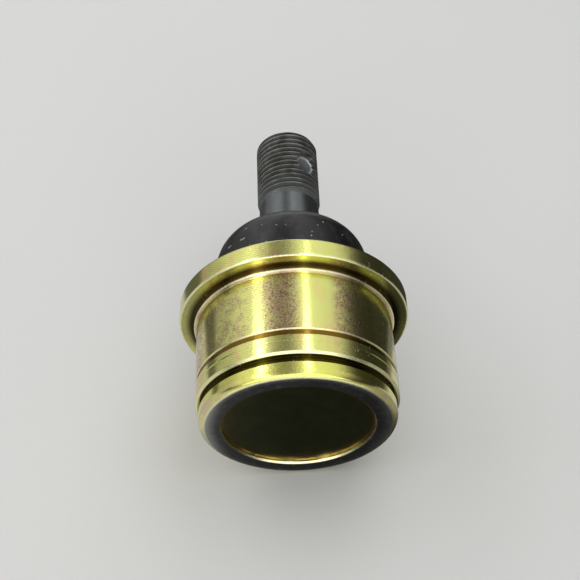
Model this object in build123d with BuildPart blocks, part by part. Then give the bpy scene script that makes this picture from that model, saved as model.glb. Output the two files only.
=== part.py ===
from build123d import *
from math import cos, radians, sin, sqrt, tan
import os

# A press-in suspension ball joint, in millimetres. The origin is the centre of the ball,
# and +Z runs up the stud. The housing's rolled rim, at the bottom, is the lowest face.

# Ball, waist and swing of the stud
ball_radius = 13.5
ball_flat_radius = 4.5
waist_radius = 7.0
waist_fillet = 1.6
swing = 24.0
swing_gap = 0.6
waist_margin = 0.8

# Taper, thread and cross hole of the stud
shoulder_length = 6.5
shoulder_rise = 2.2
taper_length = 16.0
taper_ratio = 8.0
shank_length = 0.3
thread_radius = 8.0
thread_length = 21.0
rolling_depth = 0.5
tip_chamfer = 1.1
cross_hole_radius = 2.25
cross_hole_depth_from_tip = 10.5
cross_hole_chamfer = 1.35
outline_turn = 37.5

# Bearings round the ball, and the disc spring that loads them
ball_clearance = 0.05
bearing_wall = 3.4
bearing_fit = 0.02
bearing_split = 0.6
bearing_floor = 1.5
grease_hole_radius = 5.0
channel_width = 1.6
channel_depth = 0.6
channel_reach = 7.0
channel_pairs = 3
spring_thickness = 1.2
spring_height = 2.0
spring_inner_radius = 7.5
spring_gap = 0.4

# Cover plate and the rolled rim that closes the housing over it
plate_thickness = 3.2
plate_ledge = 2.45
plate_gap = 0.05
plate_chamfer = 0.4
lip_overlap = 2.4
lip_thickness = 1.0
lip_chamfer = 0.45
curl_width = 1.9
curl_height = 2.7
curl_bulge = 0.55

# Housing, from its boot neck down to its tail
housing_wall = 6.03
mouth_land = 3.2
neck_wall = 2.0
neck_height = 3.1
neck_chamfer = 0.3
boot_groove_depth = 1.0
boot_groove_height = 2.6
flange_width = 4.0
flange_thickness = 4.6
flange_top_chamfer = 0.5
flange_under_chamfer = 0.4
register_step = 0.6
register_height = 1.1
seat_chamfer = 0.3
relief_depth = 0.4
relief_width = 1.3
land_length = 4.6
land_chamfer = 0.55
scribe_depth = 0.12
scribe_width = 0.3
scribe_drop = 1.6
ring_groove_depth = 1.6
ring_groove_width = 1.5
tail_step = 0.8
tail_length = 3.6
tail_chamfer = 0.2

# Rubber boot and its two wire rings
boot_gap = 0.3
boot_seat_gap = 0.25
boot_wall = 1.7
boot_root = 0.7
boot_bulge = 0.6
boot_bulge_rise = 5.8
boot_shoulder_inset = 1.2
boot_shoulder_drop = 5.8
boot_crown_drop = 1.0
boot_crown_width = 1.3
lip_rise = 2.3
lip_height = 3.1
lip_wall = 1.35
lip_gap = 0.15
base_wire_radius = 0.7
base_wire_proud = 0.2
neck_wire_radius = 0.45
wire_fit = 0.05
ring_opening = 6.0

# Radii that follow from the sizes above
bearing_bore_radius = ball_radius + ball_clearance
socket_radius = bearing_bore_radius + bearing_wall + bearing_fit
bearing_radius = socket_radius - bearing_fit
body_radius = socket_radius + housing_wall
flange_radius = body_radius + flange_width
register_radius = body_radius + register_step
relief_radius = body_radius - relief_depth
ring_groove_radius = body_radius - ring_groove_depth
tail_radius = body_radius - tail_step
rim_radius = tail_radius - curl_width
pocket_radius = socket_radius + plate_ledge
plate_radius = pocket_radius - plate_gap
lip_radius = pocket_radius - lip_overlap
shank_radius = thread_radius - rolling_depth
boot_land_radius = shank_radius + taper_length / (2 * taper_ratio)

# Heights that follow from the sizes above, counted from the centre of the ball.
# The mouth is the cone that the waist sweeps at full swing, and it opens the socket
# where that cone leaves the sphere of the socket.
mouth_slope = tan(radians(swing))
mouth_offset = waist_radius / cos(radians(swing)) + swing_gap
mouth_square = 1 + mouth_slope**2
mouth_linear = mouth_slope * mouth_offset
mouth_rest = mouth_offset**2 - socket_radius**2
mouth_height = (sqrt(mouth_linear**2 - mouth_square * mouth_rest) - mouth_linear) / mouth_square
neck_top = mouth_height + mouth_land
neck_mouth_radius = neck_top * mouth_slope + mouth_offset
neck_radius = neck_mouth_radius + neck_wall
boot_groove_radius = neck_radius - boot_groove_depth
flange_top = neck_top - neck_height
flange_underside = flange_top - flange_thickness
register_bottom = flange_underside - register_height
bearing_bottom = -(ball_radius + bearing_floor)
plate_inner = bearing_bottom - spring_height
plate_outer = plate_inner - plate_thickness
rim_face = plate_outer - lip_thickness
ring_groove_bottom = rim_face + tail_length
land_bottom = ring_groove_bottom + ring_groove_width
relief_bottom = land_bottom + land_length
seat_bottom = relief_bottom + relief_width
scribe_height = relief_bottom - scribe_drop

waist_top = neck_top * cos(radians(swing)) + neck_mouth_radius * sin(radians(swing)) + waist_margin
taper_bottom = waist_top + shoulder_length
taper_top = taper_bottom + taper_length
thread_bottom = taper_top + shank_length
stud_top = thread_bottom + thread_length
cross_hole_height = stud_top - cross_hole_depth_from_tip

bead_bottom = flange_top + boot_seat_gap
bead_top = flange_top + boot_groove_height - boot_seat_gap
boot_base_radius = neck_radius + boot_gap + boot_wall
boot_bulge_radius = boot_base_radius + boot_bulge
lip_bottom = taper_bottom + lip_rise
boot_top = lip_bottom + lip_height
crown_height = boot_top - boot_crown_drop
collar_radius = boot_land_radius + lip_wall
crown_radius = collar_radius + boot_crown_width
base_wire_height = (bead_bottom + bead_top) / 2
base_wire_path = boot_base_radius + base_wire_proud
neck_wire_path = collar_radius + neck_wire_radius + wire_fit
neck_wire_height = crown_height + neck_wire_radius + wire_fit


def taper_radius(height):
    """Radius of the stud's taper at a height, grown by the gap to the boot's lip."""
    return boot_land_radius - (height - taper_bottom) / (2 * taper_ratio) + lip_gap


# Housing: a turned steel shell. The outline runs down the outside, then up the inside.
with BuildPart() as housing:
    with BuildSketch(Plane.XZ):
        with BuildLine():
            Polyline(
                (neck_mouth_radius, neck_top),
                (neck_radius - neck_chamfer, neck_top),
                (neck_radius, neck_top - neck_chamfer),
                (neck_radius, flange_top + boot_groove_height),
                (boot_groove_radius, flange_top + boot_groove_height),
                (boot_groove_radius, flange_top),
                (flange_radius - flange_top_chamfer, flange_top),
                (flange_radius, flange_top - flange_top_chamfer),
                (flange_radius, flange_underside + flange_under_chamfer),
                (flange_radius - flange_under_chamfer, flange_underside),
                (register_radius, flange_underside),
                (register_radius, register_bottom),
                (body_radius, register_bottom - register_step),
                (body_radius, seat_bottom + seat_chamfer),
                (body_radius - seat_chamfer, seat_bottom),
                (relief_radius, seat_bottom),
                (relief_radius, relief_bottom),
                (body_radius, relief_bottom),
                (body_radius, scribe_height + scribe_width / 2),
                (body_radius - scribe_depth, scribe_height),
                (body_radius, scribe_height - scribe_width / 2),
                (body_radius, land_bottom + land_chamfer),
                (body_radius - land_chamfer, land_bottom),
                (ring_groove_radius, land_bottom),
                (ring_groove_radius, ring_groove_bottom),
                (tail_radius - tail_chamfer, ring_groove_bottom),
                (tail_radius, ring_groove_bottom - tail_chamfer),
                (tail_radius, rim_face + curl_height),
            )
            ThreePointArc(
                (tail_radius, rim_face + curl_height),
                (tail_radius - curl_width / 2 + curl_bulge, rim_face + curl_height / 2 - curl_bulge),
                (rim_radius, rim_face),
            )
            Polyline(
                (rim_radius, rim_face),
                (lip_radius + lip_chamfer, rim_face),
                (lip_radius, rim_face + lip_chamfer),
                (lip_radius, plate_outer),
                (pocket_radius, plate_outer),
                (pocket_radius, plate_inner),
                (socket_radius, plate_inner),
                (socket_radius, 0),
            )
            mouth_radius = mouth_height * mouth_slope + mouth_offset
            RadiusArc((socket_radius, 0), (mouth_radius, mouth_height), -socket_radius)
            Line((mouth_radius, mouth_height), (neck_mouth_radius, neck_top))
        make_face()
    revolve(axis=Axis.Z)
housing.part.label = "housing"

# Cover plate: a flat disc that the rolled rim holds against the housing's ledge.
with BuildPart() as cover_plate:
    with BuildSketch(Plane.XY.offset(plate_outer)):
        Circle(plate_radius)
    extrude(amount=plate_thickness)
    chamfer(cover_plate.edges().filter_by(GeomType.CIRCLE), plate_chamfer)
cover_plate.part.label = "cover_plate"

# Ball stud: one forging with the ball, waist, boot land, taper and thread. Its outline is
# turned away from the cross hole, so that the hole doesn't cut the seam of the revolve.
with BuildPart() as ball_stud:
    with BuildSketch(Plane.XZ.rotated((0, 0, outline_turn))) as stud_outline:
        with BuildLine():
            flat_height = -sqrt(ball_radius**2 - ball_flat_radius**2)
            waist_height = sqrt(ball_radius**2 - waist_radius**2)
            Polyline((0, stud_top), (0, flat_height), (ball_flat_radius, flat_height))
            ThreePointArc((ball_flat_radius, flat_height), (ball_radius, 0), (waist_radius, waist_height))
            Polyline(
                (waist_radius, waist_height),
                (waist_radius, waist_top),
                (boot_land_radius, waist_top + shoulder_rise),
                (boot_land_radius, taper_bottom),
                (shank_radius, taper_top),
                (shank_radius, thread_bottom - rolling_depth),
                (thread_radius, thread_bottom),
                (thread_radius, stud_top - tip_chamfer),
                (thread_radius - tip_chamfer, stud_top),
                (0, stud_top),
            )
        make_face()
        corners = stud_outline.vertices()
        fillet(corners.filter_by(lambda corner: 0 < corner.Y < waist_top + shoulder_rise), waist_fillet)
    revolve(axis=Axis.Z)
    with BuildSketch(Plane.XY.offset(cross_hole_height)):
        with BuildLine():
            drilled_to = thread_radius - cross_hole_chamfer
            flared = cross_hole_radius + cross_hole_chamfer
            Polyline(
                (0, -thread_radius),
                (flared, -thread_radius),
                (cross_hole_radius, -drilled_to),
                (cross_hole_radius, drilled_to),
                (flared, thread_radius),
                (0, thread_radius),
                close=True,
            )
        make_face()
    revolve(axis=Axis((0, 0, cross_hole_height), (0, 1, 0)), mode=Mode.SUBTRACT)
ball_stud.part.label = "ball_stud"

# Meridional grease channels, cut into both bearing halves.
with BuildPart() as grease_channels:
    with PolarLocations(0, channel_pairs):
        Box(4 * ball_radius, channel_width, 2 * channel_reach)
    Sphere(bearing_bore_radius + channel_depth, mode=Mode.INTERSECT)

# Upper bearing: a spherical cap under the housing's shoulder, open at the swing cone.
with BuildPart() as upper_bearing:
    with BuildSketch(Plane.XZ):
        with BuildLine():
            inner_rest = mouth_offset**2 - bearing_bore_radius**2
            inner_root = sqrt(mouth_linear**2 - mouth_square * inner_rest)
            inner_height = (inner_root - mouth_linear) / mouth_square
            outer_rest = mouth_offset**2 - bearing_radius**2
            outer_root = sqrt(mouth_linear**2 - mouth_square * outer_rest)
            outer_height = (outer_root - mouth_linear) / mouth_square
            half_split = bearing_split / 2
            inner_foot = (sqrt(bearing_bore_radius**2 - half_split**2), half_split)
            outer_foot = (sqrt(bearing_radius**2 - half_split**2), half_split)
            inner_lip = (inner_height * mouth_slope + mouth_offset, inner_height)
            outer_lip = (outer_height * mouth_slope + mouth_offset, outer_height)
            RadiusArc(inner_foot, inner_lip, -bearing_bore_radius)
            Line(inner_lip, outer_lip)
            RadiusArc(outer_lip, outer_foot, bearing_radius)
            Line(outer_foot, inner_foot)
        make_face()
    revolve(axis=Axis.Z)
    add(grease_channels.part, mode=Mode.SUBTRACT)
upper_bearing.part.label = "upper_bearing"

# Lower bearing: a cup that the disc spring pushes up against the ball.
with BuildPart() as lower_bearing:
    with BuildSketch(Plane.XY.offset(bearing_bottom)):
        Circle(bearing_radius)
        Circle(grease_hole_radius, mode=Mode.SUBTRACT)
    extrude(amount=-bearing_bottom - bearing_split / 2)
    Sphere(bearing_bore_radius, mode=Mode.SUBTRACT)
    add(grease_channels.part, mode=Mode.SUBTRACT)
lower_bearing.part.label = "lower_bearing"

# Disc spring: a coned washer, its outer edge on the plate and its inner edge on the bearing.
with BuildPart() as disc_spring:
    with BuildSketch(Plane.XZ):
        with BuildLine():
            Polyline(
                (socket_radius - spring_gap, plate_inner),
                (socket_radius - spring_gap, plate_inner + spring_thickness),
                (spring_inner_radius, bearing_bottom),
                (spring_inner_radius, bearing_bottom - spring_thickness),
                close=True,
            )
        make_face()
    revolve(axis=Axis.Z)
disc_spring.part.label = "disc_spring"

# Rubber boot: a bead in the neck's groove, a bulging wall, and a lip round the taper.
with BuildPart() as dust_boot:
    with BuildSketch(Plane.XZ):
        with BuildLine():
            side = ThreePointArc(
                (boot_base_radius, bead_top),
                (boot_bulge_radius, bead_top + boot_bulge_rise),
                (boot_bulge_radius - boot_shoulder_inset, boot_top - boot_shoulder_drop),
            )
            crown = TangentArc(
                side @ 1,
                (crown_radius, crown_height),
                tangent=side % 1,
            )
            offset(amount=-boot_wall, side=Side.LEFT, closed=True)
        make_face()
        with BuildLine():
            Polyline(
                (boot_groove_radius + boot_seat_gap, bead_bottom),
                (boot_base_radius, bead_bottom),
                (boot_base_radius, bead_top + boot_root),
                (neck_radius + boot_gap, bead_top + boot_root),
                (neck_radius + boot_gap, bead_top),
                (boot_groove_radius + boot_seat_gap, bead_top),
                close=True,
            )
        make_face()
        with BuildLine():
            Polyline(
                (taper_radius(lip_bottom), lip_bottom),
                (crown_radius + boot_root, crown_height - boot_wall),
                (crown_radius + boot_root, crown_height - boot_wall / 2),
                (crown_radius, crown_height),
                (collar_radius, crown_height),
                (collar_radius, boot_top),
                (taper_radius(boot_top), boot_top),
                close=True,
            )
        make_face()
    revolve(axis=Axis.Z)
    with BuildSketch(Plane.XZ):
        with Locations((base_wire_path, base_wire_height)):
            Circle(base_wire_radius + wire_fit)
    revolve(axis=Axis.Z, mode=Mode.SUBTRACT)
dust_boot.part.label = "dust_boot"


def wire_ring(path_radius, height, wire_radius):
    """An open ring of round spring wire."""
    with BuildPart() as ring:
        with BuildSketch(Plane.XZ.rotated((0, 0, ring_opening / 2))):
            with Locations((path_radius, height)):
                Circle(wire_radius)
        revolve(axis=Axis.Z, revolution_arc=360 - ring_opening)
    return ring


boot_base_ring = wire_ring(base_wire_path, base_wire_height, base_wire_radius)
boot_base_ring.part.label = "boot_base_ring"
boot_neck_ring = wire_ring(neck_wire_path, neck_wire_height, neck_wire_radius)
boot_neck_ring.part.label = "boot_neck_ring"

os.makedirs("parts", exist_ok=True)
export_step(housing.part, "parts/housing.step")
export_step(cover_plate.part, "parts/cover_plate.step")
export_step(upper_bearing.part, "parts/upper_bearing.step")
export_step(lower_bearing.part, "parts/lower_bearing.step")
export_step(disc_spring.part, "parts/disc_spring.step")
export_step(ball_stud.part, "parts/ball_stud.step")
export_step(dust_boot.part, "parts/dust_boot.step")
export_step(boot_base_ring.part, "parts/boot_base_ring.step")
export_step(boot_neck_ring.part, "parts/boot_neck_ring.step")

print("body diameter", round(2 * body_radius, 3), "flange diameter", round(2 * flange_radius, 3))
print("rim face", round(rim_face, 3), "flange underside", round(flange_underside, 3), "stud top", round(stud_top, 3))
print("press seat", round(seat_bottom + seat_chamfer, 3), "to", round(register_bottom - register_step, 3))
print("cross hole height", round(cross_hole_height, 3), "thread from", round(thread_bottom, 3))
print("taper", round(taper_bottom, 3), "to", round(taper_top, 3), "boot top", round(boot_top, 3))
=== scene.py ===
"""Dresses a press-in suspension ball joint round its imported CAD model.

The frame's origin is the centre of the ball and +Z runs up the stud. Meshes and places are in
metres; a size whose name ends in _mm is in millimetres, and so are the outlines.
"""

import logging
import math
from collections.abc import Callable, Mapping, Sequence
from dataclasses import dataclass, field
from enum import Enum
from functools import cached_property

import bmesh
import bpy
import numpy as np
from mathutils import Matrix, Vector


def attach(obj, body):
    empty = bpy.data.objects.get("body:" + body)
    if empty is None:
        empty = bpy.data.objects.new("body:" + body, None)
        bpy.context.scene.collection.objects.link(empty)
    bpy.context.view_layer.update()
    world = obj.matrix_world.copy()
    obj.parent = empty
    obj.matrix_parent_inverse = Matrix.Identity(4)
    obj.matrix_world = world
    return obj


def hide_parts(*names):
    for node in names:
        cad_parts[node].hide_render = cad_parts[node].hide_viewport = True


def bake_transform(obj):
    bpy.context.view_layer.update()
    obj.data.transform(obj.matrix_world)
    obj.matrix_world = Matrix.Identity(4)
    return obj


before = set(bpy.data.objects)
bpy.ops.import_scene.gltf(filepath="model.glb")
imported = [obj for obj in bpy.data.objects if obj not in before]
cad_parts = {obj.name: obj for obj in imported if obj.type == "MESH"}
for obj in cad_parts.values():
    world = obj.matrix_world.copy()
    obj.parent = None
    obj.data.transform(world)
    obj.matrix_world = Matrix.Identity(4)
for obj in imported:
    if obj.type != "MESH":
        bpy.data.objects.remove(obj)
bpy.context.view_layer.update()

MM = 0.001
LOG = logging.getLogger("ball_joint")
WELD = 2e-7
FLAT = 1e-7
STRAIGHT_DEG = 4.0
ROUNDED_SHARE = 0.42
MARGIN_SHARE = 0.46
SHORTEST_MM = 0.02

Colour = tuple[float, float, float, float]
Point = tuple[float, float]
Corner = tuple[float, float, float]


class Slot(Enum):
    """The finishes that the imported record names."""

    HOUSING = "housing_zinc"
    COVER = "cover_zinc"
    BEARING = "bearing_plastic"
    SPRING = "spring_steel"
    STUD = "stud_phosphate"
    BOOT = "boot_rubber"
    RING = "ring_wire"


class Body(Enum):
    """The rigid bodies of the joint."""

    HOUSING = "housing"
    BOOT = "boot"
    SWING_RING = "swing_ring"
    STUD = "stud"


def srgb(red: float, green: float, blue: float) -> Colour:
    """A colour given as it looks on a screen.

    Args:
        red: Red, from 0 to 255.
        green: Green, from 0 to 255.
        blue: Blue, from 0 to 255.

    Returns:
        The same colour as the linear numbers that a shader takes.
    """

    def linear(channel: float) -> float:
        """One channel of the colour, made linear."""
        share = channel / 255
        return share / 12.92 if share <= 0.04045 else ((share + 0.055) / 1.055) ** 2.4

    return linear(red), linear(green), linear(blue), 1.0


# Shader trees

@dataclass(frozen=True)
class Noise:
    """Smooth noise, with its patches to a millimetre and its finer octaves and their strength."""

    scale: float
    detail: float = 2.0
    rough: float = 0.5
    warp: float = 0.0
    stretch: tuple[float, float, float] | None = None

    def inputs(self) -> dict[str, float]:
        """What the noise node's sockets are set to."""
        names = "Scale", "Detail", "Roughness", "Distortion"
        return dict(zip(names, (self.scale, self.detail, self.rough, self.warp), strict=True))


class Wire:
    """An output socket of a shader tree, which takes part in Python expressions."""

    def __init__(self, tree: "ShaderTree", socket: bpy.types.NodeSocket) -> None:
        """Keeps an output socket with its tree."""
        self.tree = tree
        self.socket = socket

    def other(self, output: str) -> "Wire":
        """Another output of the same node, by name."""
        return Wire(self.tree, self.socket.node.outputs[output])

    def __add__(self, value: "Wire | float") -> "Wire":
        """This plus a value."""
        return self.tree.math("ADD", self, value)

    def __radd__(self, value: float) -> "Wire":
        """A value plus this."""
        return self.tree.math("ADD", value, self)

    def __sub__(self, value: "Wire | float") -> "Wire":
        """This less a value."""
        return self.tree.math("SUBTRACT", self, value)

    def __rsub__(self, value: float) -> "Wire":
        """A value less this."""
        return self.tree.math("SUBTRACT", value, self)

    def __mul__(self, value: "Wire | float") -> "Wire":
        """This times a value."""
        return self.tree.math("MULTIPLY", self, value)

    def __rmul__(self, value: float) -> "Wire":
        """A value times this."""
        return self.tree.math("MULTIPLY", value, self)

    def __truediv__(self, value: "Wire | float") -> "Wire":
        """This over a value."""
        return self.tree.math("DIVIDE", self, value)


class ShaderTree:
    """The node tree of a material or of the world."""

    def __init__(self, name: str, owner: bpy.types.World | None = None) -> None:
        """Starts an empty tree.

        Args:
            name: The name of the material that is made for it.
            owner: What the tree belongs to instead, if it isn't a new material.
        """
        self.owner = owner or bpy.data.materials.new(name)
        self.owner.use_nodes = True
        self.tree = self.owner.node_tree
        self.tree.nodes.clear()

    def add(
        self,
        kind: str,
        settings: Mapping[str, object] | None = None,
        inputs: Mapping[str | int, object] | None = None,
        output: str | int = 0,
    ) -> Wire:
        """Adds a node of any type.

        Args:
            kind: The node's type.
            settings: Its settings, which are set first. "stops" are a ramp's stops.
            inputs: Values or wires for its input sockets, by name or number.
            output: The output that the caller goes on with.

        Returns:
            The wire from that output.
        """
        node = self.tree.nodes.new(kind)
        for name, value in (settings or {}).items():
            if name == "stops":
                self._set_stops(node.color_ramp, value)
            else:
                setattr(node, name, value)
        for name, value in (inputs or {}).items():
            if isinstance(value, Wire):
                self.tree.links.new(value.socket, node.inputs[name])
            else:
                node.inputs[name].default_value = value
        return Wire(self, node.outputs[output]) if node.outputs else Wire(self, node.inputs[0])

    @staticmethod
    def _set_stops(ramp: bpy.types.ColorRamp, stops: Sequence[tuple[float, Colour]]) -> None:
        """Gives a ramp its stops, in order of place."""
        while len(ramp.elements) < len(stops):
            ramp.elements.new(1.0)
        for element, (place, colour) in zip(ramp.elements, stops, strict=True):
            element.position = place
            element.color = colour

    def math(self, operation: str, *values: Wire | float) -> Wire:
        """A Math node on wires or numbers."""
        return self.add("ShaderNodeMath", {"operation": operation}, dict(enumerate(values)))
    def most(self, first: Wire | float, second: Wire | float) -> Wire:
        """The larger of two values."""
        return self.math("MAXIMUM", first, second)

    def length(self, across: Wire, along: Wire) -> Wire:
        """The length of a flat vector."""
        return self.math("SQRT", across * across + along * along)

    def mix(self, share: Wire, low: Wire | Colour, high: Wire | Colour) -> Wire:
        """Goes from the low colour at share 0 to the high one at share 1."""
        settings = {"data_type": "RGBA", "blend_type": "MIX", "clamp_factor": True}
        return self.add("ShaderNodeMix", settings, {0: share, 6: low, 7: high}, output=2)

    def step(self, value: Wire, start: float, end: float) -> Wire:
        """A smooth step from 0 at start to 1 at end, in either direction."""
        inputs = {"Value": value, "From Min": start, "From Max": end}
        return self.add("ShaderNodeMapRange", {"interpolation_type": "SMOOTHSTEP"}, inputs)
    def band(self, value: Wire, low: float, high: float, outside: float, inside: float) -> Wire:
        """1 from low to high, with ends that fade from outside to inside them."""
        above = self.step(value, low - outside, low + inside)
        return above * self.step(value, high + outside, high - inside)

    def stretch(self, vector: Wire, factors: tuple[float, float, float]) -> Wire:
        """A vector with each part multiplied by its own factor."""
        return self.add("ShaderNodeVectorMath", {"operation": "MULTIPLY"}, {0: vector, 1: factors})

    @cached_property
    def place(self) -> Wire:
        """The place on the piece in the CAD frame, in millimetres."""
        return self.stretch(self.add("ShaderNodeTexCoord", output="Object"), (1 / MM, 1 / MM, 1 / MM))

    @cached_property
    def across(self) -> Wire:
        """The place's X."""
        return self.add("ShaderNodeSeparateXYZ", None, {0: self.place})

    @cached_property
    def along(self) -> Wire:
        """The place's Y."""
        return self.across.other("Y")

    @cached_property
    def height(self) -> Wire:
        """The place's Z."""
        return self.across.other("Z")

    @cached_property
    def angle(self) -> Wire:
        """The angle from +X round the stud's axis, in radians."""
        return self.math("ARCTAN2", self.along, self.across)

    @cached_property
    def radius(self) -> Wire:
        """The distance from the stud's axis."""
        return self.length(self.across, self.along)

    def noise(self, noise: Noise) -> Wire:
        """Noise from 0 to 1 at the place."""
        vector = self.stretch(self.place, noise.stretch) if noise.stretch else self.place
        return self.add("ShaderNodeTexNoise", None, {"Vector": vector, **noise.inputs()})

    def lines(self, value: Wire, noise: Noise) -> Wire:
        """Noise along a single value, for marks that lie across it."""
        settings = {"noise_dimensions": "1D"}
        return self.add("ShaderNodeTexNoise", settings, {"W": value, **noise.inputs()})

    def ramp(self, value: Wire, *stops: tuple[float, Colour]) -> Wire:
        """The colour that a value has on a ramp."""
        return self.add("ShaderNodeValToRGB", {"stops": stops}, {"Fac": value})

    def lobe(self, centre_deg: float, half_width_deg: float) -> Wire:
        """1 along one side of a turned piece, falling to 0 at a half width to each side."""
        turned = self.math("COSINE", self.angle - math.radians(centre_deg))
        return self.step(turned, math.cos(math.radians(half_width_deg)), 1.0)

    def bump(self, height_um: Wire) -> Wire:
        """A normal bent by a height in micrometres."""
        inputs = {"Height": height_um, "Distance": MM * MM, "Strength": 1.0}
        return self.add("ShaderNodeBump", None, inputs)

    def finish(
        self, sockets: Mapping[str, object], kind: str = "ShaderNodeBsdfPrincipled"
    ) -> bpy.types.Material:
        """Ends the tree in a shader of that kind, whose sockets take values or wires."""
        self.add("ShaderNodeOutputMaterial", None, {"Surface": self.add(kind, None, sockets)})
        return self.owner


# Finishes


@dataclass(frozen=True)
class HighlitWornEdge:
    """An edge all round the housing, with a painted highlight along it, broken up like wear."""

    radius_mm: float
    height_mm: float
    reach_mm: float


@dataclass(frozen=True)
class Groove:
    """A groove all round the housing, with the radius of its mouth and the painted shade inside it."""

    bottom_mm: float
    top_mm: float
    mouth_mm: float
    colour: Colour


@dataclass(frozen=True)
class StainAndReflection:
    """Sides of the housing tinted by thick chromate and by painted reflection and shade, and where noise
    breaks the tint up.
    """

    sides_deg: tuple[float, ...]
    half_width_deg: float
    broken: Point
    share: float


@dataclass(frozen=True)
class YellowZinc:
    """Yellow chromate over zinc on turned steel, bare grey where the rim was rolled, with painted
    highlights, reflections and shade on its edges, grooves, sides and the corner under the flange.
    """

    lime: Colour = srgb(228, 232, 138)
    gold: Colour = srgb(234, 216, 142)
    lemon: Colour = srgb(242, 243, 118)
    rose: Colour = srgb(208, 164, 150)
    violet: Colour = srgb(118, 84, 92)
    # pale: the colour of the painted edge highlights
    pale: Colour = srgb(246, 246, 206)
    shade: Colour = srgb(150, 140, 70)
    # The painted shade in the corner under the flange.
    corner_shade: Colour = srgb(70, 62, 22)
    # rolled: the pinkish grey of the painted reflection on the curl's sides
    rolled: Colour = srgb(214, 192, 172)
    scuff: Colour = srgb(214, 214, 204)
    rim_dark: Colour = srgb(108, 111, 108)
    rim_light: Colour = srgb(204, 204, 198)
    drift: Noise = Noise(0.16, 3.0, 0.55, 0.4, (1.0, 1.0, 0.45))
    patches: Noise = Noise(0.45, 4.0, 0.6, 0.4)
    grain: Noise = Noise(2.1, 3.0, 0.6)
    fine: Noise = Noise(3.6, 3.0, 0.75)
    clouds: Noise = Noise(0.6, 5.0, 0.65, 0.5)
    scratches: Noise = Noise(1.9, 4.0, 0.8, 0.5, (1.0, 1.0, 0.6))
    scratched_areas: Noise = Noise(0.12)
    stains_and_reflections: tuple[StainAndReflection, ...] = (
        StainAndReflection((-138.5, -99.0, -24.0, 96.0, 158.0), 13.0, (0.26, 0.56), 1.0),
        StainAndReflection((-176.0, -64.0, 62.0, 128.0), 30.0, (0.36, 0.60), 0.7),
    )
    thick: Point = (0.60, 0.76)
    thick_share: float = 0.35
    seat_foot_mm: Point = (-12.1, -11.1)
    seat_head_mm: Point = (6.2, 5.0)
    off_seat: float = 0.3
    tail_mm: Point = (-17.3, -17.9)
    mottle: Point = (0.46, 0.57)
    feed_mm: float = 0.29
    hatch_mm: float = 0.62
    hatch_turns: int = 150
    hatch_share: float = 0.24
    line_share: float = 0.2
    corner_mm: Point = (23.6, 6.315)
    curl_mm: Point = (-18.9, -19.9)
    bright_curl_deg: Point = (-131.0, 62.0)
    curl_share: float = 0.35
    rim_reflection_sides: tuple[Point, ...] = ((140.0, 0.62), (-38.0, 0.40))
    rim_width_deg: float = 40.0
    rim_reach_mm: float = 2.3
    roughness: float = 0.15

    def material(
        self, edges: Sequence[HighlitWornEdge], grooves: Sequence[Groove], rim_mm: Corner
    ) -> bpy.types.Material:
        """Builds the shader.

        Args:
            edges: The edges that carry painted highlights.
            grooves: The grooves, which are darker than the rest as painted shade.
            rim_mm: The rolled rim's inner radius, outer radius and height.

        Returns:
            The material for the housing.
        """
        tree = ShaderTree("yellow_chromate_zinc")
        radius, height = tree.radius, tree.height
        patches, grain, fine = (tree.noise(each) for each in (self.patches, self.grain, self.fine))
        on_tail = tree.step(height, *self.tail_mm)
        tint = self.tint(tree, patches)
        colour = tree.mix(on_tail * 0.8, self.plated(tree), self.lemon)
        colour = tree.mix(tint * 0.55, colour, self.rose)
        mottled = tree.step(fine * 0.45 + grain * 0.55, *self.mottle)
        colour = tree.mix(mottled * tint * 0.8, colour, self.violet)

        cut = height + radius
        lines = tree.math("SINE", cut * (math.tau / self.feed_mm))
        hatch = tree.math("SINE", tree.angle * self.hatch_turns + cut * (math.tau / self.hatch_mm))
        marked = tree.step(lines, 0.1, 1.0) * (self.line_share + on_tail * self.line_share)
        marked = marked + tree.step(hatch, 0.2, 1.0) * (1 - on_tail) * self.hatch_share
        colour = self.under_flange_tint_and_shade(tree, tree.mix(marked, colour, self.shade))
        # Painted reflection: the curl turns pinkish grey, in patches, except on the side facing -131
        # degrees.
        on_curl = tree.step(height, *self.curl_mm) * (1 - tree.lobe(*self.bright_curl_deg))
        rolled = on_curl * (self.curl_share + tree.step(patches, 0.4, 0.6) * self.curl_share)
        colour = tree.mix(rolled, colour, self.rolled)
        # Painted shade in the grooves.
        for groove in grooves:
            colour = tree.mix(self.in_groove(tree, groove), colour, groove.colour)
        # Painted highlights along the edges, broken up by grain like wear.
        highlit_and_worn = self.highlit_and_worn(tree, edges) * tree.step(grain * 0.6 + fine * 0.4, 0.30, 0.55)
        colour = tree.mix(highlit_and_worn * 0.8, colour, self.pale)

        inner_mm, outer_mm, face_mm = rim_mm
        on_rim = tree.step(height - face_mm, 0.09, 0.02) * tree.step(radius - inner_mm, -0.1, 0.1)
        colour = tree.mix(on_rim, colour, self.rim(tree, outer_mm))
        scuffed = tree.step(tree.noise(self.scratches), 0.64, 0.68)
        scuffed = scuffed * tree.step(tree.noise(self.scratched_areas), 0.48, 0.58)

        relief = grain * 13.0 + fine * (0.9 + tint * 2.2)
        relief = relief + lines * (0.35 + on_tail * 0.5) + hatch * 0.35
        rough = self.roughness + tint * 0.12 + highlit_and_worn * 0.10 + on_rim * 0.13
        return tree.finish(
            {
                "Base Color": tree.mix(scuffed * 0.8, colour, self.scuff),
                "Metallic": 1.0 - scuffed * 0.7,
                "Roughness": rough + scuffed * 0.25,
                "Anisotropic": 0.45,
                "Anisotropic Rotation": 0.25,
                "Normal": tree.bump(relief),
            }
        )

    def plated(self, tree: ShaderTree) -> Wire:
        """The chromate's own colour, lime that drifts to gold."""
        stops = (0.34, self.gold), (0.47, self.lime), (0.58, self.lime), (0.70, self.gold)
        return tree.ramp(tree.noise(self.drift), *stops)

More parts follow.
